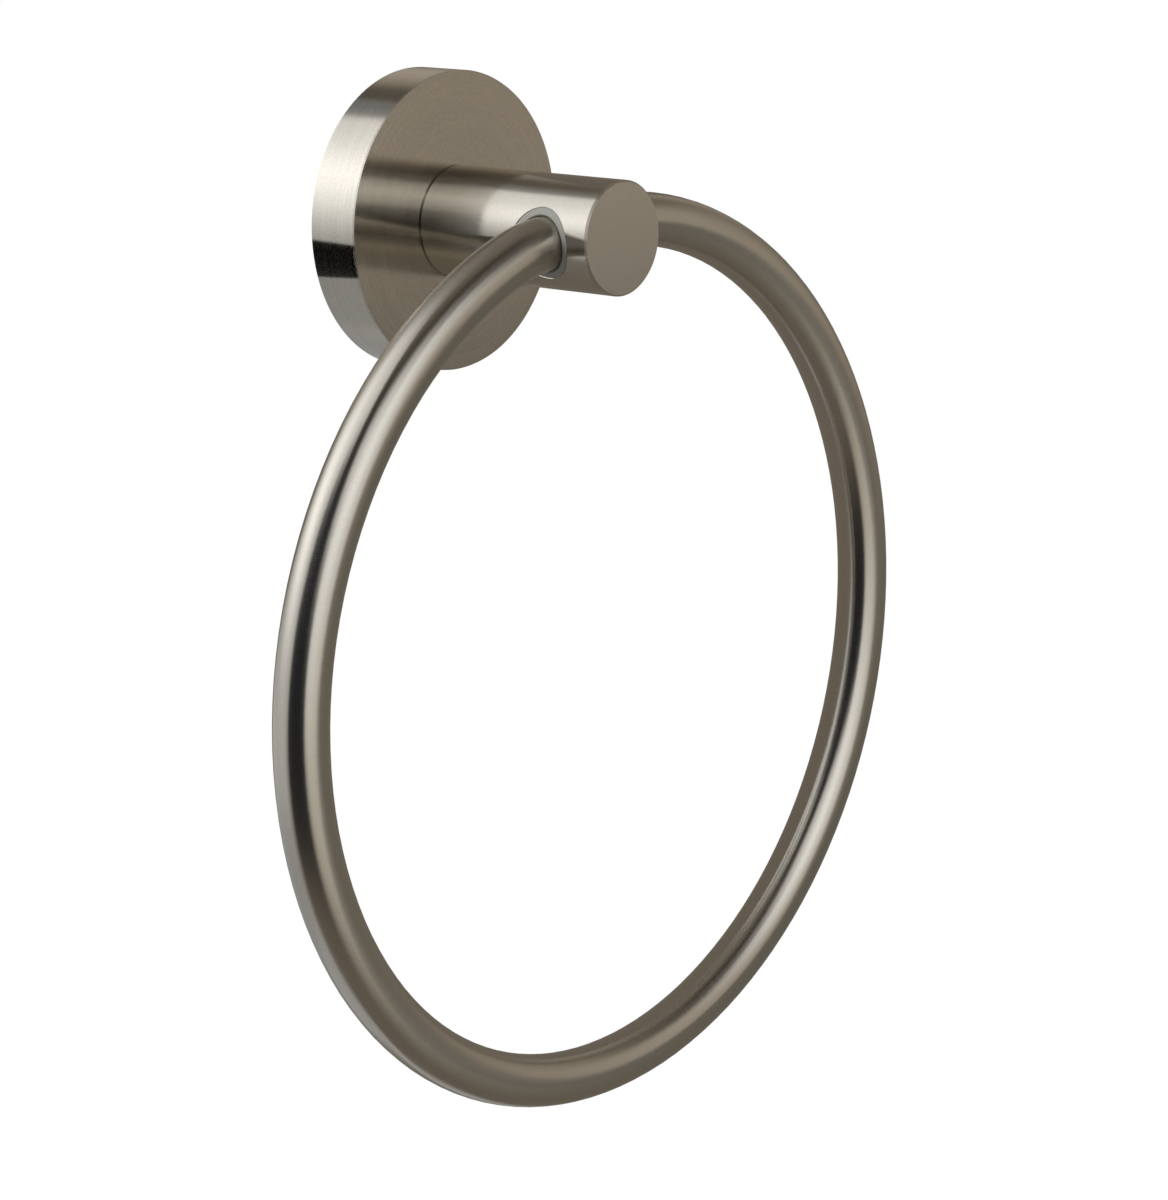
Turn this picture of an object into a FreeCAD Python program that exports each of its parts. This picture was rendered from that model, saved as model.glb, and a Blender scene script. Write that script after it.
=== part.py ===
import FreeCAD, Part
import math
import os

os.makedirs("parts", exist_ok=True)

# Towel ring with a round wall cover, a round post and a free swinging ring.
# Millimetres. The wall is the plane Y = 0, the room is towards -Y and +Z is up.
# The origin lies on the wall, on the axis of the post.

# Driving sizes of the ring
ring_outer_d = 174.0
rod_d = 10.0
rod_end_bend_r = 30.0
rod_straight_past_post = 0.3
rod_end_gap = 3.0
rod_end_chamfer = 0.6

# Driving sizes of the post
post_d = 21.0
bore_from_wall = 40.0
bore_to_tip = 11.0
post_tip_chamfer = 0.35
post_back_chamfer = 0.3
bore_edge_chamfer = 0.15
spigot_d = 12.0
spigot_across_flats = 10.0
spigot_setback = 0.3

# Driving sizes of the bushings
bushing_wall = 1.4
bushing_length = 6.2
bushing_recess = 0.12
bushing_mouth_chamfer = 0.35

# Driving sizes of the escutcheon, the round cover on the wall
escutcheon_d = 56.0
escutcheon_front_wall = 3.0
escutcheon_side_wall = 2.4
escutcheon_edge_break = 0.45
escutcheon_rim_chamfer = 0.3
escutcheon_inner_chamfer = 0.8

# Driving sizes of the wall bracket, a pressed sheet pan with a flared rim
bracket_sheet = 1.6
bracket_flare_deg = 15.0
bracket_bend_chamfer = 1.0
bracket_slot_margin = 1.4
bracket_slot_grid = 0.5
bracket_slot_width = 4.8
bracket_slot_length = 7.2

# Driving sizes of the post screw and its washer
post_screw_d = 6.0
post_screw_length = 16.0
post_screw_head_d = 11.0
post_screw_head_h = 2.9
post_screw_head_chamfer = 0.9
post_screw_recess_span = 5.0
post_screw_recess_width = 1.1
post_screw_recess_depth = 1.7
washer_thickness = 1.0
washer_overlap = 2.0

# Driving sizes of the set screw under the escutcheon
set_screw_d = 4.0
set_screw_length = 5.5
set_screw_tip_d = 2.0
set_screw_tip_h = 1.0
set_screw_recess = 0.4
set_screw_key = 2.0
set_screw_key_depth = 2.2

# Clearances and fits
running_clearance = 0.06
press_line = 0.02
thread_clearance = 0.05
spigot_clearance = 0.05
washer_hole_clearance = 0.2
rod_through_clearance = 0.4
bracket_slip = 0.3
bracket_front_gap = 2.0
screw_head_gap = 2.5
screw_tip_gap = 2.0
set_screw_gap = 0.05

# Sizes that follow from the ones above
rod_r = rod_d / 2
ring_r = (ring_outer_d - rod_d) / 2
post_r = post_d / 2
post_tip_y = -(bore_from_wall + bore_to_tip)
bushing_inner_r = rod_r + running_clearance
bushing_outer_r = bushing_inner_r + bushing_wall
bushing_seat_r = bushing_outer_r + press_line
bushing_shoulder_x = post_r - bushing_length
inside_depth = bracket_sheet + screw_head_gap + post_screw_head_h + washer_thickness
escutcheon_depth = inside_depth + escutcheon_front_wall
escutcheon_r = escutcheon_d / 2
escutcheon_inner_r = escutcheon_r - escutcheon_side_wall
bracket_depth = inside_depth - bracket_front_gap
bracket_front_r = escutcheon_inner_r - bracket_slip
flare = math.tan(math.radians(bracket_flare_deg))
set_screw_r = set_screw_d / 2
set_screw_from_wall = bracket_depth - set_screw_r - thread_clearance
set_screw_outer_z = -(escutcheon_r - set_screw_recess)
set_screw_tip_z = set_screw_outer_z + set_screw_length
bearing_from_axis = -set_screw_tip_z - set_screw_gap - set_screw_tip_d / 2 * flare
bracket_flat_from_axis = bearing_from_axis + (bracket_depth - set_screw_from_wall) * flare
bracket_flare_wall = bracket_sheet / math.cos(math.radians(bracket_flare_deg))
bracket_flat_inside = bracket_flat_from_axis - bracket_depth * flare - bracket_flare_wall
slot_room = bracket_flat_inside - bracket_slot_margin - bracket_slot_length / 2
bracket_slot_spacing = 2 * bracket_slot_grid * math.floor(slot_room / bracket_slot_grid)
washer_outer_r = spigot_d / 2 + washer_overlap

X = FreeCAD.Vector(1, 0, 0)
Y = FreeCAD.Vector(0, 1, 0)
Z = FreeCAD.Vector(0, 0, 1)


def point(x, y, z):
    return FreeCAD.Vector(x, y, z)


def rod_y(radius, y_from, y_to, x=0.0, z=0.0):
    low, high = min(y_from, y_to), max(y_from, y_to)
    return Part.makeCylinder(radius, high - low, point(x, low, z), Y)


def rod_x(radius, x_from, x_to, y=0.0, z=0.0):
    low, high = min(x_from, x_to), max(x_from, x_to)
    return Part.makeCylinder(radius, high - low, point(low, y, z), X)


def rod_z(radius, z_from, z_to, x=0.0, y=0.0):
    low, high = min(z_from, z_to), max(z_from, z_to)
    return Part.makeCylinder(radius, high - low, point(x, y, low), Z)


def box(x_size, y_from, y_to, z_size):
    low, high = min(y_from, y_to), max(y_from, y_to)
    return Part.makeBox(x_size, high - low, z_size, point(-x_size / 2, low, -z_size / 2))


def round_edges(shape, radius, y):
    """The circular edges about the post axis with this radius, in the plane at this Y."""
    found = []
    for edge in shape.Edges:
        curve = edge.Curve
        if not isinstance(curve, Part.Circle):
            continue
        on_plane = abs(curve.Center.y - y) < 1e-4
        on_axis = math.hypot(curve.Center.x, curve.Center.z) < 1e-4
        if on_plane and on_axis and abs(curve.Radius - radius) < 1e-4:
            found.append(edge)
    return found


def keyed_bar(diameter, across_flats, y_from, y_to):
    """A round bar with two flats, left and right, which stops a part from turning."""
    bar = rod_y(diameter / 2, y_from, y_to)
    return bar.common(box(across_flats, y_from, y_to, 2 * diameter))


def hexagon_bar(across_flats, height, base, axis_x, axis_y, direction):
    """A six-sided bar that rises from base along direction."""
    corner_r = across_flats / math.sqrt(3)
    points = []
    for step in range(7):
        turn = math.radians(60 * step)
        points.append(base + axis_x * (corner_r * math.cos(turn)) + axis_y * (corner_r * math.sin(turn)))
    face = Part.Face(Part.makePolygon(points))
    return face.extrude(direction * height)


# The wall bracket

def flared_pan(front_r, flat_z, y_back, y_front):
    """A cone that widens towards the room, cut off below by a flat with the same flare."""
    depth = y_back - y_front
    cone = Part.makeCone(front_r, front_r - depth * flare, depth, point(0, y_front, 0), Y)
    half = 2 * front_r
    corners = [
        point(-half, y_back, -(flat_z - depth * flare)),
        point(-half, y_front, -flat_z),
        point(-half, y_front, half),
        point(-half, y_back, half),
    ]
    wedge = Part.Face(Part.makePolygon(corners + corners[:1])).extrude(X * (2 * half))
    return cone.common(wedge)


def bracket_slot(z_centre):
    """A slot for a wall screw, longer upwards so that the bracket can be levelled."""
    half_run = (bracket_slot_length - bracket_slot_width) / 2
    radius = bracket_slot_width / 2
    low = rod_y(radius, 0, -bracket_sheet, 0, z_centre - half_run)
    high = rod_y(radius, 0, -bracket_sheet, 0, z_centre + half_run)
    middle = box(bracket_slot_width, 0, -bracket_sheet, 2 * half_run)
    middle.translate(point(0, 0, z_centre))
    return low.fuse([high, middle]).removeSplitter()


def wall_bracket():
    outside = flared_pan(bracket_front_r, bracket_flat_from_axis, 0, -bracket_depth)
    back_edges = [e for e in outside.Edges if e.BoundBox.YMin > -1e-6]
    outside = outside.makeChamfer(bracket_bend_chamfer, back_edges)
    wall = bracket_flare_wall
    inside = flared_pan(bracket_front_r - wall, bracket_flat_from_axis - wall, -bracket_sheet, -bracket_depth)
    pan = outside.cut(inside)
    half_spacing = bracket_slot_spacing / 2
    return pan.cut([bracket_slot(half_spacing), bracket_slot(-half_spacing)])


# The escutcheon

def set_screw_hole():
    reach = 2 * escutcheon_side_wall
    radius = set_screw_r + thread_clearance
    return rod_z(radius, -(escutcheon_r + 1), -(escutcheon_r - reach), 0, -set_screw_from_wall)


def turned_cover():
    """The outside of the cover, whose front edge is broken by two small bevels in place of one round."""
    edge = escutcheon_edge_break
    halfway = edge * (1 - math.sqrt(0.5))
    corners = [
        point(0, 0, 0),
        point(escutcheon_r - escutcheon_rim_chamfer, 0, 0),
        point(escutcheon_r, -escutcheon_rim_chamfer, 0),
        point(escutcheon_r, -(escutcheon_depth - edge), 0),
        point(escutcheon_r - halfway, -(escutcheon_depth - halfway), 0),
        point(escutcheon_r - edge, -escutcheon_depth, 0),
        point(0, -escutcheon_depth, 0),
    ]
    profile = Part.Face(Part.makePolygon(corners + corners[:1]))
    return profile.revolve(point(0, 0, 0), Y, 360)


def escutcheon():
    body = turned_cover()
    hollow = rod_y(escutcheon_inner_r, 0, -inside_depth)
    hollow = hollow.makeChamfer(escutcheon_inner_chamfer, round_edges(hollow, escutcheon_inner_r, -inside_depth))
    wide = spigot_d + 2 * spigot_clearance
    flats = spigot_across_flats + 2 * spigot_clearance
    keyhole = keyed_bar(wide, flats, -inside_depth, -escutcheon_depth)
    return body.cut([hollow, keyhole, set_screw_hole()])


# The post

def cross_bore():
    """The bore that carries the ring: a seat for a bushing at each side and a plain hole between them."""
    through = rod_x(rod_r + rod_through_clearance, -post_r, post_r, -bore_from_wall)
    left = rod_x(bushing_seat_r, -(post_r + 1), -bushing_shoulder_x, -bore_from_wall)
    right = rod_x(bushing_seat_r, bushing_shoulder_x, post_r + 1, -bore_from_wall)
    return [through, left, right]


def bore_edges(drilled):
    """The curved edges where the seats of the bushings meet the round side of the post."""
    found = []
    for edge in drilled.Edges:
        away = []
        for parameter in (edge.FirstParameter, edge.LastParameter, (edge.FirstParameter + edge.LastParameter) / 2):
            at = edge.valueAt(parameter)
            on_seat = abs(math.hypot(at.y + bore_from_wall, at.z) - bushing_seat_r) < 1e-3
            on_side = abs(math.hypot(at.x, at.z) - post_r) < 1e-3
            away.append(on_seat and on_side)
        if all(away):
            found.append(edge)
    return found


def post():
    bar = rod_y(post_r, -escutcheon_depth, post_tip_y)
    bar = bar.makeChamfer(post_tip_chamfer, round_edges(bar, post_r, post_tip_y))
    bar = bar.makeChamfer(post_back_chamfer, round_edges(bar, post_r, -escutcheon_depth))
    spigot_end = -(inside_depth + spigot_setback)
    spigot = keyed_bar(spigot_d, spigot_across_flats, spigot_end, -escutcheon_depth)
    solid = bar.fuse(spigot)
    hole_end = -(inside_depth - washer_thickness + post_screw_length + screw_tip_gap)
    tapped = rod_y(post_screw_d / 2 + thread_clearance, spigot_end, hole_end)
    drilled = solid.cut([tapped] + cross_bore())
    return drilled.makeChamfer(bore_edge_chamfer, bore_edges(drilled))


# The bushings

def bushing(side):
    """A moulded sleeve whose outer end follows the round of the post."""
    inner_end = side * bushing_shoulder_x
    outer_end = side * (post_r + 1)
    sleeve = rod_x(bushing_outer_r, inner_end, outer_end, -bore_from_wall)
    envelope = rod_y(post_r - bushing_recess, post_tip_y, -escutcheon_depth)
    sleeve = sleeve.common(envelope)
    sleeve = sleeve.cut(rod_x(bushing_inner_r, inner_end, outer_end, -bore_from_wall))
    mouth = []
    for edge in sleeve.Edges:
        middle = edge.valueAt((edge.FirstParameter + edge.LastParameter) / 2)
        away = math.hypot(middle.y + bore_from_wall, middle.z)
        if abs(away - bushing_inner_r) < 1e-3 and abs(middle.x) > bushing_shoulder_x + 1 and len(edge.Vertexes) < 2:
            mouth.append(edge)
    return sleeve.makeChamfer(bushing_mouth_chamfer, mouth) if mouth else sleeve


# The ring

def ring_path():
    """The centre line: a straight end in each bushing, a short bend and the large round between them."""
    straight = post_r + rod_straight_past_post
    reach = ring_r - rod_end_bend_r
    turn = math.asin(straight / reach)
    centre_z = -rod_end_bend_r - math.sqrt(reach ** 2 - straight ** 2)
    bend_end_x = straight + rod_end_bend_r * math.sin(turn)
    bend_end_z = -rod_end_bend_r * (1 - math.cos(turn))
    half_turn = turn / 2
    bend_mid_x = straight + rod_end_bend_r * math.sin(half_turn)
    bend_mid_z = -rod_end_bend_r * (1 - math.cos(half_turn))
    y = -bore_from_wall
    tip = rod_end_gap / 2
    bottom = point(0, y, centre_z - ring_r)

    def at(x, z):
        return point(x, y, z)

    def bend(side):
        return Part.Arc(at(side * straight, 0), at(side * bend_mid_x, bend_mid_z), at(side * bend_end_x, bend_end_z))

    edges = [
        Part.LineSegment(at(tip, 0), at(straight, 0)).toShape(),
        bend(1).toShape(),
        Part.Arc(at(bend_end_x, bend_end_z), bottom, at(-bend_end_x, bend_end_z)).toShape(),
        bend(-1).toShape(),
        Part.LineSegment(at(-straight, 0), at(-tip, 0)).toShape(),
    ]
    return Part.Wire(Part.__sortEdges__(edges))


def ring():
    path = ring_path()
    start = path.OrderedVertexes[0].Point
    section = Part.Wire(Part.makeCircle(rod_r, start, X))
    solid = path.makePipeShell([section], True, False)
    tip = rod_end_gap / 2
    ends = []
    for edge in solid.Edges:
        box_x = edge.BoundBox
        if abs(abs(box_x.Center.x) - tip) < 1e-3 and box_x.XLength < 1e-3:
            ends.append(edge)
    return solid.makeChamfer(rod_end_chamfer, ends)


# The fasteners

def post_washer():
    hole_r = post_screw_d / 2 + washer_hole_clearance
    y_front = -inside_depth
    y_back = -(inside_depth - washer_thickness)
    return rod_y(washer_outer_r, y_front, y_back).cut(rod_y(hole_r, y_front, y_back))


def post_screw():
    """A pan-head screw with a cross recess, driven from the wall side into the post."""
    under_head = -(inside_depth - washer_thickness)
    top = under_head + post_screw_head_h
    head_r = post_screw_head_d / 2
    head = rod_y(head_r, under_head, top)
    head = head.makeChamfer(post_screw_head_chamfer, round_edges(head, head_r, top))
    shank_end = under_head - post_screw_length
    shank = rod_y(post_screw_d / 2, under_head, shank_end)
    shank = shank.makeChamfer(thread_clearance * 10, round_edges(shank, post_screw_d / 2, shank_end))
    recess_floor = top - post_screw_recess_depth
    upright = box(post_screw_recess_width, recess_floor, top, post_screw_recess_span)
    level = box(post_screw_recess_span, recess_floor, top, post_screw_recess_width)
    return head.fuse(shank).cut([upright, level])


def set_screw():
    """A headless screw that bears on the flared flat of the bracket and draws the escutcheon to the wall."""
    cone_z = set_screw_tip_z - set_screw_tip_h
    base = point(0, -set_screw_from_wall, set_screw_outer_z)
    shank = rod_z(set_screw_r, set_screw_outer_z, cone_z, 0, -set_screw_from_wall)
    cone_base = point(0, -set_screw_from_wall, cone_z)
    tip = Part.makeCone(set_screw_r, set_screw_tip_d / 2, set_screw_tip_h, cone_base, Z)
    socket = hexagon_bar(set_screw_key, set_screw_key_depth, base, X, Y, Z)
    return shank.fuse(tip).cut(socket)


def build():
    return {
        "wall_bracket": wall_bracket(),
        "escutcheon": escutcheon(),
        "escutcheon_set_screw": set_screw(),
        "post": post(),
        "post_washer": post_washer(),
        "post_screw": post_screw(),
        "bushing_left": bushing(-1),
        "bushing_right": bushing(1),
        "ring": ring(),
    }


for name, shape in build().items():
    shape = shape.removeSplitter()
    print(name, "valid", shape.isValid(), "solids", len(shape.Solids), "volume", round(shape.Volume, 1))
    shape.exportStep("parts/" + name + ".step")
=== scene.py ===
# %% [markdown]
# A towel ring in brushed nickel. The round cover, the post, the ring and the plastic bushings come
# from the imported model, in metres, with the wall at Y = 0, the room towards -Y and +Z up.
# Their shapes are already right, so this lesson is about their finish, the light and the camera.

# %% Load the model
import bpy
import math
from mathutils import Matrix, Vector


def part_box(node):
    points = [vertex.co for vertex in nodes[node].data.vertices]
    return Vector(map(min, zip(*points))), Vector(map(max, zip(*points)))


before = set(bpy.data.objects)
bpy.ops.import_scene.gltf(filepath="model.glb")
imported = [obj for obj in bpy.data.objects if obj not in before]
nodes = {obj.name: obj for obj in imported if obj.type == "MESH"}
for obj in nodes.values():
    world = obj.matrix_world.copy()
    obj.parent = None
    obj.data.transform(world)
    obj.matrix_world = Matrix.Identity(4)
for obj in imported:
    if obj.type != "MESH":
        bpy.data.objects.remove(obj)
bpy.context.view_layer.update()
MM = 0.001
print("nodes", sorted(nodes))

# %% [markdown]
# Colours are written as the hex values that a picture editor shows. Blender's shaders count in
# linear light, so one function turns a hex value into linear red, green and blue. A second function
# adds a node to a material and joins it to the ones before it.

# %% Colour and node helpers
def linear(code, brightness=1.0):
    parts = [int(code[i:i + 2], 16) / 255 for i in (1, 3, 5)]
    light = [p / 12.92 if p <= 0.04045 else ((p + 0.055) / 1.055) ** 2.4 for p in parts]
    return tuple(brightness * part for part in light) + (1.0,)


def add(tree, kind, settings=None, **links):
    """Adds a node. Settings are its properties or socket values, links are sockets that feed it.

    A socket goes by its name, or by its number where several share a name. In a Mix node 0 is the
    factor, 2 and 3 are the two numbers, 4 and 5 the two vectors, and 6 and 7 the two colours.
    """
    node = tree.nodes.new(kind)
    for key, value in (settings or {}).items():
        if isinstance(key, int) or key in node.inputs:
            node.inputs[key].default_value = value
        else:
            setattr(node, key, value)
    for key, source in links.items():
        by_number = key[0] == "i" and key[1:].isdigit()
        tree.links.new(source, node.inputs[int(key[1:]) if by_number else key.replace("_", " ")])
    return node


def new_material(name):
    material = bpy.data.materials.new(name)
    material.use_nodes = True
    material.node_tree.nodes.clear()
    return material, material.node_tree


def dress(node_name, material):
    for material_slot in nodes[node_name].material_slots:
        material_slot.material = material


print("mid grey #808080 in linear light", round(linear("#808080")[0], 3))

# %% [markdown]
# The camera stands in front of the towel ring, to its left and above it, and looks a little down.
# Its place and lens were worked out from the outlines in the photograph, 1168 pixels wide.

# %% Camera
eye = Vector((-477.99, -455.03, 134.22)) * MM
yaw, pitch, roll = 0.8501, -0.3119, -0.0750
focal_px, frame_px = 3542.1, 1168
sensor_mm = 36
far_end = 50
forward = Vector((math.sin(yaw) * math.cos(pitch), math.cos(yaw) * math.cos(pitch),
                  math.sin(pitch)))
level = Vector((math.cos(yaw), -math.sin(yaw), 0))
upward = level.cross(forward)
right = level * math.cos(roll) + upward * math.sin(roll)
above = -level * math.sin(roll) + upward * math.cos(roll)
lens = bpy.data.cameras.new("camera")
lens.sensor_fit = "HORIZONTAL"
lens.sensor_width = sensor_mm
lens.lens = sensor_mm * focal_px / frame_px
lens.clip_end = far_end
camera = bpy.data.objects.new("camera", lens)
bpy.context.collection.objects.link(camera)
turned_to = Matrix((right, above, -forward)).transposed().to_4x4()
camera.matrix_world = Matrix.Translation(eye) @ turned_to
scene = bpy.context.scene
scene.camera = camera
scene.view_settings.view_transform = "Standard"
print("camera at", [round(v, 3) for v in eye], "lens", round(lens.lens, 1), "mm")

# %% [markdown]
# The background is plain white. The world is white for what the camera, reflections and clear
# materials see, and a softer grey where it only lights the object.

# %% World
WHITE = (1, 1, 1, 1)
fill_strength = 0.25


def in_sight(tree):
    """A socket that is 1 for camera, mirrored and transmitted rays and 0 for the other rays."""
    path = add(tree, "ShaderNodeLightPath")
    seen = add(tree, "ShaderNodeMath", {"operation": "MAXIMUM"},
               i0=path.outputs["Is Camera Ray"], i1=path.outputs["Is Glossy Ray"])
    seen = add(tree, "ShaderNodeMath", {"operation": "MAXIMUM"},
               i0=seen.outputs[0], i1=path.outputs["Is Transmission Ray"])
    return seen.outputs[0]


world = bpy.data.worlds.new("studio")
scene.world = world
world.use_nodes = True
sky = world.node_tree
sky.nodes.clear()
fill = add(sky, "ShaderNodeBackground", {"Color": linear("#f4f4f2"), "Strength": fill_strength})
white = add(sky, "ShaderNodeBackground", {"Color": WHITE, "Strength": 1.0})
either = add(sky, "ShaderNodeMixShader", None,
             i0=in_sight(sky), i1=fill.outputs[0], i2=white.outputs[0])
add(sky, "ShaderNodeOutputWorld", None, Surface=either.outputs[0])
print("world white in sight, and lights the object at", fill_strength)

# %% [markdown]
# A towel ring hangs about a metre above the floor. The floor is a large pale sheet down there. It
# glows white where the camera sees it, with a share of true diffuse paint mixed in, so that a soft
# shadow of the object still falls on it.

# %% Floor
floor_half, floor_z = 12.0, -1.2
glow_share, glow_strength = 0.93, 1.06


def sheet(name, corners):
    """One flat face. Its front is the side from which its corners run anticlockwise."""
    mesh = bpy.data.meshes.new(name)
    mesh.from_pydata(corners, [], [range(len(corners))])
    piece = bpy.data.objects.new(name, mesh)
    bpy.context.collection.objects.link(piece)
    return piece


floor = sheet("floor", [(x * floor_half, y * floor_half, floor_z)
                        for x, y in ((-1, -1), (1, -1), (1, 1), (-1, 1))])
floor_paint, tree = new_material("pale floor")
share = add(tree, "ShaderNodeMath", {"operation": "MULTIPLY", 1: glow_share}, i0=in_sight(tree))
paint = add(tree, "ShaderNodeBsdfDiffuse", {"Color": linear("#f5f5f4")})
glow = add(tree, "ShaderNodeEmission", {"Color": WHITE, "Strength": glow_strength})
mixed = add(tree, "ShaderNodeMixShader", None,
            i0=share.outputs[0], i1=paint.outputs[0], i2=glow.outputs[0])
add(tree, "ShaderNodeOutputMaterial", None, Surface=mixed.outputs[0])
floor.data.materials.append(floor_paint)
print("floor", 2 * floor_half, "m wide at", floor_z, "m")

# %% [markdown]
# Brushed metal is mostly a picture of the room around it. A studio hangs softboxes and black and
# grey cards round such an object. Here they are painted as soft patches on the inside of one large
# shell, which only reflections can see. Each row gives a card's middle and half size in degrees,
# left to right (0 is the room in front, -90 the left) and up, its soft edge, brightness and tint.
# A later row is painted over the rows before it.

# %% Reflection cards
WARM, SAND, COOL, INK = "#fff1e0", "#fff8ea", "#fafcff", "#dde4ff"
cards = [
    # turn, half, edge, rise, half, edge, brightness, tint
    (48, 42, 20, -26, 30, 14, 0.17, SAND),
    (48, 42, 20, 8, 18, 5, 0.38, WARM),
    (135, 36, 14, 22, 13, 10, 0.42, WARM),
    (158, 12, 6, 43, 6, 5, 0.12, WARM),
    (173, 12, 4, 48, 8, 3, 0.24, COOL),
    (0, 180, 1, 90, 18, 8, 0.16, WARM),
    (0, 64, 12, 60, 11, 7, 0.05, WARM),
    (12, 26, 12, -46, 18, 12, 0.22, SAND),
    (32, 26, 10, 44, 12, 8, 0.07, WARM),
    (-10, 21, 10, -16, 20, 10, 0.60, SAND),
    (-7, 30, 6, 15, 25, 6, 0.95, COOL),
    (-22, 24, 8, 38, 14, 6, 1.00, COOL),
    (-8, 18, 16, 22, 14, 12, 1.40, COOL),
    (-126, 54, 5, 62, 20, 12, 1.00, COOL),
    (-136, 44, 3, 18, 26, 6, 0.48, COOL),
    (-141, 28, 27, 32, 19, 22, 1.75, COOL),
    (-68.5, 29.5, 4, -7, 30, 8, 0.02, INK),
    (-68, 24, 6, 36, 16, 8, 0.04, INK),
    (-148, 42, 8, -15, 9, 3, 0.60, COOL),
    (-168, 60, 8, -33, 11, 1, 0.37, COOL),
    (-168, 60, 8, -60, 16, 1, 0.47, COOL),
]
bare_room = 0.18
shell_r = 1.0
shell_middle = (0, -30 * MM, -60 * MM)
HALF_TURN, FULL_TURN = 180.0, 360.0


def only_in_reflections(piece):
    for ray in ("camera", "diffuse", "transmission", "volume_scatter", "shadow"):
        setattr(piece, "visible_" + ray, False)


bpy.ops.mesh.primitive_uv_sphere_add(segments=96, ring_count=48, radius=shell_r)
shell = bpy.context.object
shell.name = "card_shell"
shell.location = shell_middle
only_in_reflections(shell)
shell_paint, tree = new_material("studio cards")
where = add(tree, "ShaderNodeTexCoord")
axes = add(tree, "ShaderNodeSeparateXYZ", None, i0=where.outputs["Object"])
back = add(tree, "ShaderNodeMath", {"operation": "MULTIPLY", 1: -1.0}, i0=axes.outputs["Y"])
turn = add(tree, "ShaderNodeMath", {"operation": "ARCTAN2"},
           i0=axes.outputs["X"], i1=back.outputs[0])
turn = add(tree, "ShaderNodeMath", {"operation": "DEGREES"}, i0=turn.outputs[0])
rise = add(tree, "ShaderNodeMath", {"operation": "DIVIDE", 1: shell_r}, i0=axes.outputs["Z"])
rise = add(tree, "ShaderNodeMath", {"operation": "ARCSINE"}, i0=rise.outputs[0])
rise = add(tree, "ShaderNodeMath", {"operation": "DEGREES"}, i0=rise.outputs[0])
room = add(tree, "ShaderNodeRGB")
room.outputs[0].default_value = linear(WARM, bare_room)
colour = room.outputs[0]
for middle, half, edge, height, half_up, edge_up, strength, tint in cards:
    # The turn from the card's middle is brought into half a turn either way, so that a card may
    # lie across the back of the shell.
    apart = add(tree, "ShaderNodeMath",
                {"operation": "SUBTRACT", 1: float(middle - FULL_TURN - HALF_TURN)},
                i0=turn.outputs[0])
    apart = add(tree, "ShaderNodeMath", {"operation": "FLOORED_MODULO", 1: FULL_TURN},
                i0=apart.outputs[0])
    apart = add(tree, "ShaderNodeMath", {"operation": "SUBTRACT", 1: HALF_TURN},
                i0=apart.outputs[0])
    over = add(tree, "ShaderNodeMath", {"operation": "SUBTRACT", 1: float(height)},
               i0=rise.outputs[0])
    fades = []
    for angle, half_size, soft_edge in ((apart, half, edge), (over, half_up, edge_up)):
        away = add(tree, "ShaderNodeMath", {"operation": "ABSOLUTE"}, i0=angle.outputs[0])
        fades.append(add(tree, "ShaderNodeMapRange",
                         {"interpolation_type": "SMOOTHSTEP",
                          "From Min": float(half_size - soft_edge),
                          "From Max": float(half_size + soft_edge), "To Min": 1.0, "To Max": 0.0},
                         i0=away.outputs[0]))
    mask = add(tree, "ShaderNodeMath", {"operation": "MULTIPLY"},
               i0=fades[0].outputs[0], i1=fades[1].outputs[0])
    blend = add(tree, "ShaderNodeMix", {"data_type": "RGBA", 7: linear(tint, strength)},
                i0=mask.outputs[0], i6=colour)
    colour = blend.outputs[2]
glow = add(tree, "ShaderNodeEmission", {"Strength": 1.0}, Color=colour)
add(tree, "ShaderNodeOutputMaterial", None, Surface=glow.outputs[0])
shell.data.materials.append(shell_paint)
print("cards", len(cards))

# %% [markdown]
# The cards are far away, so every part of the object would see them alike. Two flags stand close
# behind it, as backing boards do. The grey one hides the large softbox from the lower right of the
# ring only. The black one puts a dark stripe on the left side of the round cover only.

# %% Flags behind the object
grey_y = 4
grey_outline = [(-60, -220), (130, -220), (130, 130), (34, 130), (34, -38), (-60, -38)]
black_corners = [(-54, -8, -6), (-54, -8, -13), (-138, 160, -107), (-138, 160, -15)]


def flag(name, corners_mm, brightness):
    """A sheet that only reflections see, and only from its front."""
    board = sheet(name, [Vector(corner) * MM for corner in corners_mm])
    only_in_reflections(board)
    paint, tree = new_material(name.replace("_", " "))
    side = add(tree, "ShaderNodeNewGeometry")
    matt = add(tree, "ShaderNodeEmission", {"Color": linear(WARM, brightness), "Strength": 1.0})
    clear = add(tree, "ShaderNodeBsdfTransparent")
    one_sided = add(tree, "ShaderNodeMixShader", None,
                    i0=side.outputs["Backfacing"], i1=matt.outputs[0], i2=clear.outputs[0])
    add(tree, "ShaderNodeOutputMaterial", None, Surface=one_sided.outputs[0])
    board.data.materials.append(paint)
    print(name, [round(side_m, 3) for side_m in board.dimensions], "m")


flag("grey_flag", [(x, grey_y, z) for x, z in grey_outline], 0.19)
flag("black_flag", black_corners, 0.004)

# %% [markdown]
# Two soft lamps light what isn't a mirror: the plastic bushings and the floor. Reflections don't
# see them, because the cards already stand for them.

# %% Lamps
lamp_aim = Vector((0, 0, -0.08))


def soft_lamp(name, place, size, watts):
    light = bpy.data.lights.new(name, "AREA")
    light.size = size
    light.energy = watts
    lamp = bpy.data.objects.new(name, light)
    lamp.location = place
    lamp.rotation_euler = (lamp_aim - Vector(place)).to_track_quat("-Z", "Y").to_euler()
    lamp.visible_glossy = False
    bpy.context.collection.objects.link(lamp)
    print("lamp", name, watts, "W")


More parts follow.
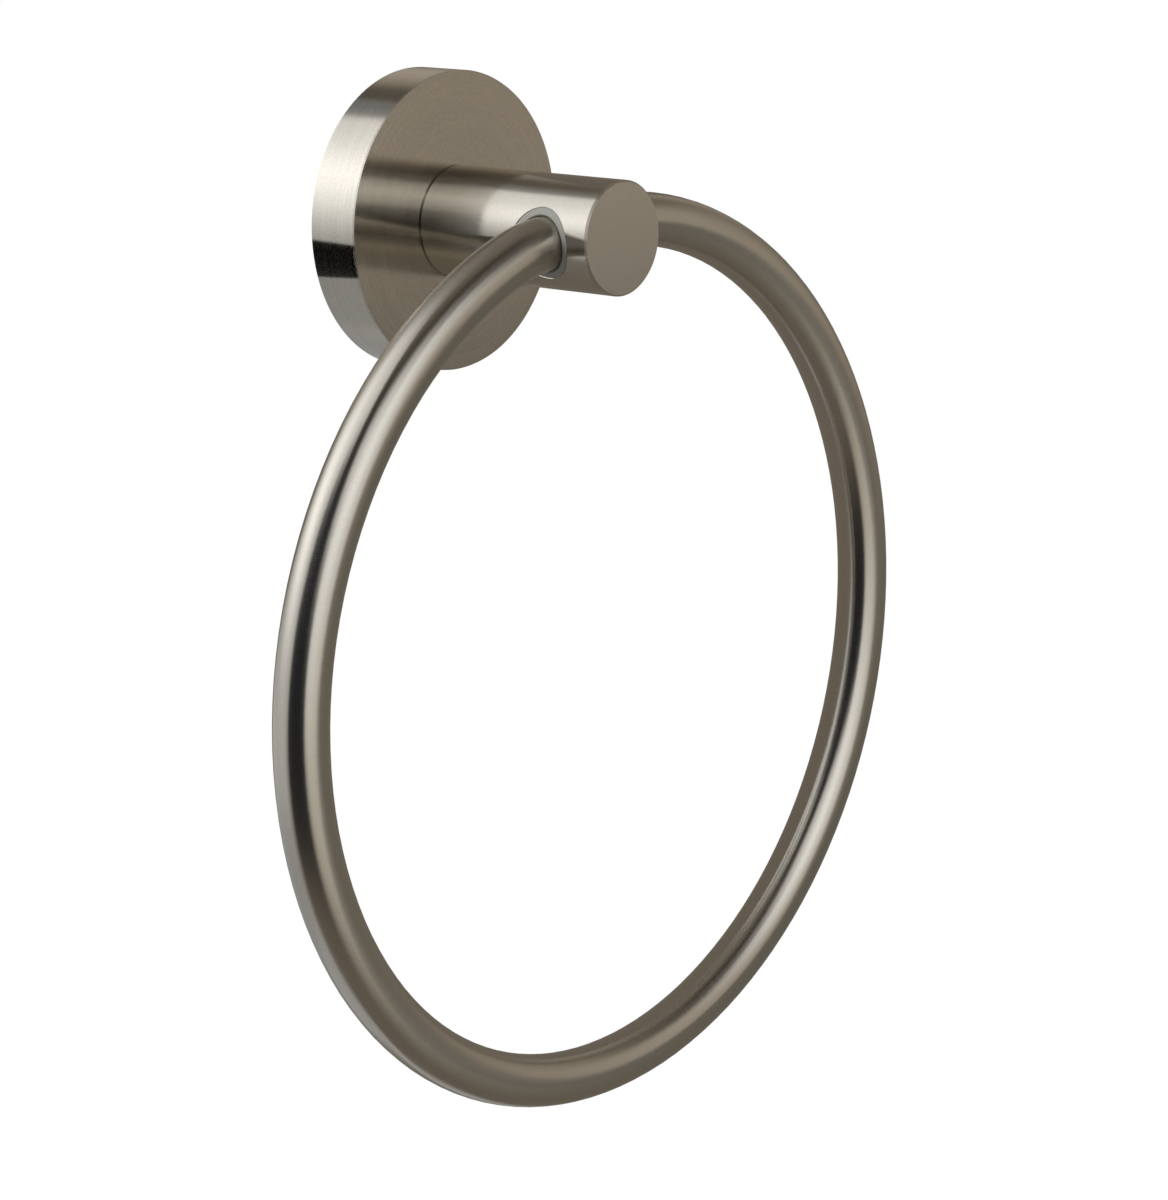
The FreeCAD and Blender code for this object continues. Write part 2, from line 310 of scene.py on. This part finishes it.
soft_lamp("key", place=(-0.8, 0.7, 0.9), size=0.7, watts=20)
soft_lamp("front", place=(0.5, -1.3, 0.3), size=0.9, watts=5)

# %% [markdown]
# Brushed nickel is brass or zinc with a nickel plate that an abrasive belt or a lathe has scored
# with fine parallel lines. Light spreads across the lines and stays sharp along them. The shader
# does this with anisotropy about a tangent, and a stretched noise adds the lines that still show.
#
# The noise needs a place to start from: the lines on the cover and the post run round the post's
# axis, and those on the ring run round its rod.

# %% Where the lines run
ring_outer_r, rod_middle_r = 87 * MM, 82 * MM
ring_middle_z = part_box("ring")[0].z + ring_outer_r


def around_post(tree):
    """Distance from the post's axis, place along it and turn about it, in metres and radians."""
    place = add(tree, "ShaderNodeTexCoord")
    axes = add(tree, "ShaderNodeSeparateXYZ", None, i0=place.outputs["Object"])
    flat = add(tree, "ShaderNodeCombineXYZ", None, i0=axes.outputs["X"], i1=axes.outputs["Z"])
    radius = add(tree, "ShaderNodeVectorMath", {"operation": "LENGTH"}, i0=flat.outputs[0])
    angle = add(tree, "ShaderNodeMath", {"operation": "ARCTAN2"},
                i0=axes.outputs["Z"], i1=axes.outputs["X"])
    return radius.outputs["Value"], axes.outputs["Y"], angle.outputs[0]


def around_ring(tree):
    """Turn about the ring's middle, the distance from it and the depth, for lines round the rod."""
    place = add(tree, "ShaderNodeTexCoord")
    axes = add(tree, "ShaderNodeSeparateXYZ", None, i0=place.outputs["Object"])
    height = add(tree, "ShaderNodeMath", {"operation": "SUBTRACT", 1: ring_middle_z},
                 i0=axes.outputs["Z"])
    angle = add(tree, "ShaderNodeMath", {"operation": "ARCTAN2"},
                i0=height.outputs[0], i1=axes.outputs["X"])
    flat = add(tree, "ShaderNodeCombineXYZ", None, i0=axes.outputs["X"], i1=height.outputs[0])
    radius = add(tree, "ShaderNodeVectorMath", {"operation": "LENGTH"}, i0=flat.outputs[0])
    return angle.outputs[0], radius.outputs["Value"], axes.outputs["Y"]


print("ring's middle at", round(ring_middle_z / MM, 1), "mm")

# %% [markdown]
# One function makes all three finishes. The lines and a fine grain vary the tone and the roughness.
# The direction in which light spreads is a tangent along the circles about the post's axis, turned
# by a quarter where the lines follow these circles.

# %% Brushed nickel
NICKEL = "#cec8bc"
grain_size = 0.35 * MM
TONE_SPAN = {"From Min": 0.25, "From Max": 0.75}
GLOSS_SPAN = {"From Min": 0.35, "From Max": 0.65}
# Parts of the normal along Y: 0 faces sideways, -1 the room and 1 the wall.
SIDE_TO_FACE = {"From Min": 0.45, "From Max": 0.75}
BEVEL_TO_ROOM = {"From Min": -0.15, "From Max": -0.97}
face_above = 0.9
scored_rough = 0.28
trace = 0.02


def brushed(name, place, noise_step, rough_side, rough_face, spread, turned, tone_depth,
            grain_depth, worn_edges=True, straight_face=False, scored_share=0.0):
    """Nickel with fine parallel lines.

    place gives three sockets, and noise_step the length of one step of the noise in each.
    rough_side and rough_face are for what faces sideways and for what faces the wall or the room.
    spread is how strongly light spreads across the lines, and turned is how far this direction is
    turned from the circles about the post's axis, in full turns. tone_depth and grain_depth are
    how far the lines and the grain vary the tone. straight_face is for an end face with straight
    lines. scored_share is how much of the surface is scored where the rest is left polished.
    """
    material, tree = new_material(name)
    scaled = [add(tree, "ShaderNodeMath", {"operation": "DIVIDE", 1: step}, i0=socket).outputs[0]
              for socket, step in zip(place(tree), noise_step)]
    lines_at = add(tree, "ShaderNodeCombineXYZ", None, i0=scaled[0], i1=scaled[1], i2=scaled[2])
    lines = add(tree, "ShaderNodeTexNoise", {"Scale": 1.0, "Detail": 3.0, "Roughness": 0.6},
                Vector=lines_at.outputs[0])
    spot = add(tree, "ShaderNodeTexCoord")
    grain = add(tree, "ShaderNodeTexNoise", {"Scale": 1 / grain_size, "Detail": 2.0},
                Vector=spot.outputs["Object"])

    tone = add(tree, "ShaderNodeMapRange",
               {**TONE_SPAN, "To Min": 1 - tone_depth, "To Max": 1 + tone_depth},
               i0=lines.outputs["Fac"])
    speck = add(tree, "ShaderNodeMapRange",
                {**TONE_SPAN, "To Min": 1 - grain_depth, "To Max": 1 + grain_depth},
                i0=grain.outputs["Fac"])
    both = add(tree, "ShaderNodeMath", {"operation": "MULTIPLY"},
               i0=tone.outputs[0], i1=speck.outputs[0])
    shade = add(tree, "ShaderNodeMix",
                {"data_type": "RGBA", "blend_type": "MULTIPLY", 0: 1.0, 6: linear(NICKEL)},
                i7=both.outputs[0])

    towards = add(tree, "ShaderNodeSeparateXYZ", None, i0=spot.outputs["Normal"])
    facing = add(tree, "ShaderNodeMath", {"operation": "ABSOLUTE"}, i0=towards.outputs["Y"])
    rough = add(tree, "ShaderNodeMapRange",
                {**SIDE_TO_FACE, "To Min": rough_side, "To Max": rough_face},
                i0=facing.outputs[0])
    worn = add(tree, "ShaderNodeMapRange",
               {**GLOSS_SPAN, "To Min": 1 - grain_depth, "To Max": 1 + grain_depth},
               i0=lines.outputs["Fac"])
    gloss = add(tree, "ShaderNodeMath", {"operation": "MULTIPLY"},
                i0=rough.outputs[0], i1=worn.outputs[0])
    facet = add(tree, "ShaderNodeTexWhiteNoise", {"noise_dimensions": "3D"},
                Vector=spot.outputs["Object"])
    if scored_share:
        # A belt leaves polished land between the lines it scores. Both are too fine to see apart.
        scored = add(tree, "ShaderNodeMath", {"operation": "LESS_THAN", 1: scored_share},
                     i0=facet.outputs["Value"])
        gloss = add(tree, "ShaderNodeMix", {"data_type": "FLOAT", 3: scored_rough},
                    i0=scored.outputs[0], i2=gloss.outputs[0])

    along = add(tree, "ShaderNodeTangent", {"direction_type": "RADIAL", "axis": "Y"}).outputs[0]
    if straight_face:
        on_face = add(tree, "ShaderNodeMath", {"operation": "GREATER_THAN", 1: face_above},
                      i0=facing.outputs[0])
        along = add(tree, "ShaderNodeMix", {"data_type": "VECTOR", 5: (0.0, 0.0, 1.0)},
                    i0=on_face.outputs[0], i4=along).outputs[1]
    metal = add(tree, "ShaderNodeBsdfPrincipled",
                {"Metallic": 1.0, "Anisotropic": spread, "Anisotropic Rotation": turned},
                Base_Color=shade.outputs[2], Roughness=gloss.outputs[0], Tangent=along)
    if worn_edges:
        # A tumbled edge is all tiny facets: each one lies with the side or with the face, at
        # random. A trace of the true normal stays in, so that no facet turns away from the eye.
        true_normal = add(tree, "ShaderNodeNewGeometry")
        sideways = add(tree, "ShaderNodeVectorMath", {"operation": "MULTIPLY", 1: (1, trace, 1)},
                       i0=true_normal.outputs["Normal"])
        outwards = add(tree, "ShaderNodeVectorMath",
                       {"operation": "MULTIPLY", 1: (trace, 1, trace)},
                       i0=true_normal.outputs["Normal"])
        chance = add(tree, "ShaderNodeMapRange", BEVEL_TO_ROOM, i0=towards.outputs["Y"])
        lies_flat = add(tree, "ShaderNodeMath", {"operation": "LESS_THAN"},
                        i0=facet.outputs["Value"], i1=chance.outputs[0])
        leaning = add(tree, "ShaderNodeMix", {"data_type": "VECTOR"},
                      i0=lies_flat.outputs[0], i4=sideways.outputs[0], i5=outwards.outputs[0])
        facet_normal = add(tree, "ShaderNodeVectorMath", {"operation": "NORMALIZE"},
                           i0=leaning.outputs[1])
        tree.links.new(facet_normal.outputs[0], metal.inputs["Normal"])
    add(tree, "ShaderNodeOutputMaterial", None, Surface=metal.outputs[0])
    print(name, "tone", tone_depth, "grain", grain_depth)
    return material


# %% [markdown]
# The cover is turned on a lathe, so its lines are circles. The post is brushed while it spins, with
# straight lines on its end face, and it keeps half of its first polish. The ring is brushed across
# its rod. Real lines lie about 0.05 mm apart. They are drawn coarser, 0.3 mm apart on the post and
# the ring and 0.7 mm on the cover, because finer ones are lost between the pixels.

# %% Cover, post and ring
turned_cover = brushed(
    "turned nickel cover", around_post, noise_step=(0.7 * MM, 0.7 * MM, 0.9), rough_side=0.10,
    rough_face=0.145, spread=0.9, turned=0.25, tone_depth=0.07, grain_depth=0.08)
brushed_post = brushed(
    "brushed nickel post", around_post, noise_step=(0.3 * MM, 0.3 * MM, 0.4), rough_side=0.07,
    rough_face=0.15, spread=0.97, turned=0.25, tone_depth=0.015, grain_depth=0.06,
    straight_face=True, scored_share=0.5)
brushed_ring = brushed(
    "brushed nickel ring", around_ring, noise_step=(0.3 * MM / rod_middle_r, 4 * MM, 4 * MM),
    rough_side=0.24, rough_face=0.24, spread=0.85, turned=0.0, tone_depth=0.015,
    grain_depth=0.03, worn_edges=False)
dress("escutcheon", turned_cover)
dress("post", brushed_post)
dress("ring", brushed_ring)

# %% [markdown]
# The bushings are moulded acetal, a hard slippery plastic. Its skin is smooth and slightly waxy.

# %% Moulded acetal
skin_grain = 0.4 * MM
acetal, tree = new_material("moulded grey acetal")
spot = add(tree, "ShaderNodeTexCoord")
grain = add(tree, "ShaderNodeTexNoise", {"Scale": 1 / skin_grain, "Detail": 2.0},
            Vector=spot.outputs["Object"])
tint = add(tree, "ShaderNodeMix",
           {"data_type": "RGBA", 6: linear("#8b8a83"), 7: linear("#979690")},
           i0=grain.outputs["Fac"])
skin = add(tree, "ShaderNodeMapRange",
           {"From Min": 0.3, "From Max": 0.7, "To Min": 0.34, "To Max": 0.42},
           i0=grain.outputs["Fac"])
plastic = add(tree, "ShaderNodeBsdfPrincipled", {"IOR": 1.48},
              Base_Color=tint.outputs[2], Roughness=skin.outputs[0])
add(tree, "ShaderNodeOutputMaterial", None, Surface=plastic.outputs[0])
dress("bushing_left", acetal)
dress("bushing_right", acetal)
print("acetal on both bushings, grain", skin_grain / MM, "mm")

# %% [markdown]
# The bracket and the washer are pressed steel with a bright zinc plate, which leaves a fine crystal
# pattern. The screws are stainless steel with a finer grain. Both patterns are drawn coarser than
# the real ones, which are about a tenth of a millimetre.

# %% Zinc plate and stainless steel
SUM_SPAN = {"From Min": 0.4, "From Max": 1.4}


def steel(name, code, cells_per_metre, dark, light, rough):
    material, tree = new_material(name)
    place = add(tree, "ShaderNodeTexCoord")
    crystals = add(tree, "ShaderNodeTexVoronoi", {"Scale": cells_per_metre},
                   Vector=place.outputs["Object"])
    speckle = add(tree, "ShaderNodeTexNoise", {"Scale": cells_per_metre * 0.5, "Detail": 4.0},
                  Vector=place.outputs["Object"])
    sum_of = add(tree, "ShaderNodeMath", {"operation": "ADD"},
                 i0=crystals.outputs["Distance"], i1=speckle.outputs["Fac"])
    tone = add(tree, "ShaderNodeMapRange", {**SUM_SPAN, "To Min": dark, "To Max": light},
               i0=sum_of.outputs[0])
    shade = add(tree, "ShaderNodeMix",
                {"data_type": "RGBA", "blend_type": "MULTIPLY", 0: 1.0, 6: linear(code)},
                i7=tone.outputs[0])
    gloss = add(tree, "ShaderNodeMapRange",
                {**SUM_SPAN, "To Min": rough * 0.8, "To Max": rough * 1.2}, i0=sum_of.outputs[0])
    metal = add(tree, "ShaderNodeBsdfPrincipled", {"Metallic": 1.0},
                Base_Color=shade.outputs[2], Roughness=gloss.outputs[0])
    add(tree, "ShaderNodeOutputMaterial", None, Surface=metal.outputs[0])
    print(name, round(1000 / cells_per_metre, 2), "mm a crystal")
    return material


zinc = steel("zinc plated steel", "#c9cccd", cells_per_metre=900.0,
             dark=0.85, light=1.08, rough=0.34)
stainless = steel("stainless steel", "#b9b7b2", cells_per_metre=2200.0,
                  dark=0.9, light=1.05, rough=0.28)
dress("wall_bracket", zinc)
dress("post_washer", zinc)
dress("post_screw", stainless)
dress("escutcheon_set_screw", stainless)
